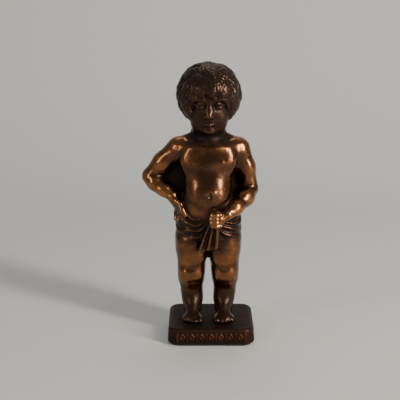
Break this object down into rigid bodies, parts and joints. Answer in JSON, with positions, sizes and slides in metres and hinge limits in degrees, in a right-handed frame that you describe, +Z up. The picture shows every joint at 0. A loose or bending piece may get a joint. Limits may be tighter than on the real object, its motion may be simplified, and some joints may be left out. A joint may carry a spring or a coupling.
{
  "type": "souvenir figurine",
  "caption": "Small cast metal figure of a standing curly-haired toddler with one hand on the hip, on a low square plinth with a padded underside.",
  "frame": {"origin": "centre of the plinth's footprint, on the surface that the figurine stands on", "axes": "+Z up, -Y is the way the figure faces, +X towards the figure's left hand"},
  "size_m": [0.0366, 0.0257, 0.09],
  "materials": {
    "figure_metal": "antique copper plating, dark brown in the recesses, worn bright on the high points, lacquered",
    "plinth_metal": "dark red-brown antique copper plating, semi-matte, worn brighter on the raised moulding",
    "screw_steel": "zinc plated",
    "washer_steel": "zinc plated",
    "pad_foam": "black closed-cell foam"
  },
  "bodies": {
    "root": {"figure_casting": "figure_metal", "plinth_casting": "plinth_metal", "fixing_screws": "screw_steel", "screw_washers": "washer_steel", "base_pad": "pad_foam"}
  },
  "joints": []
}
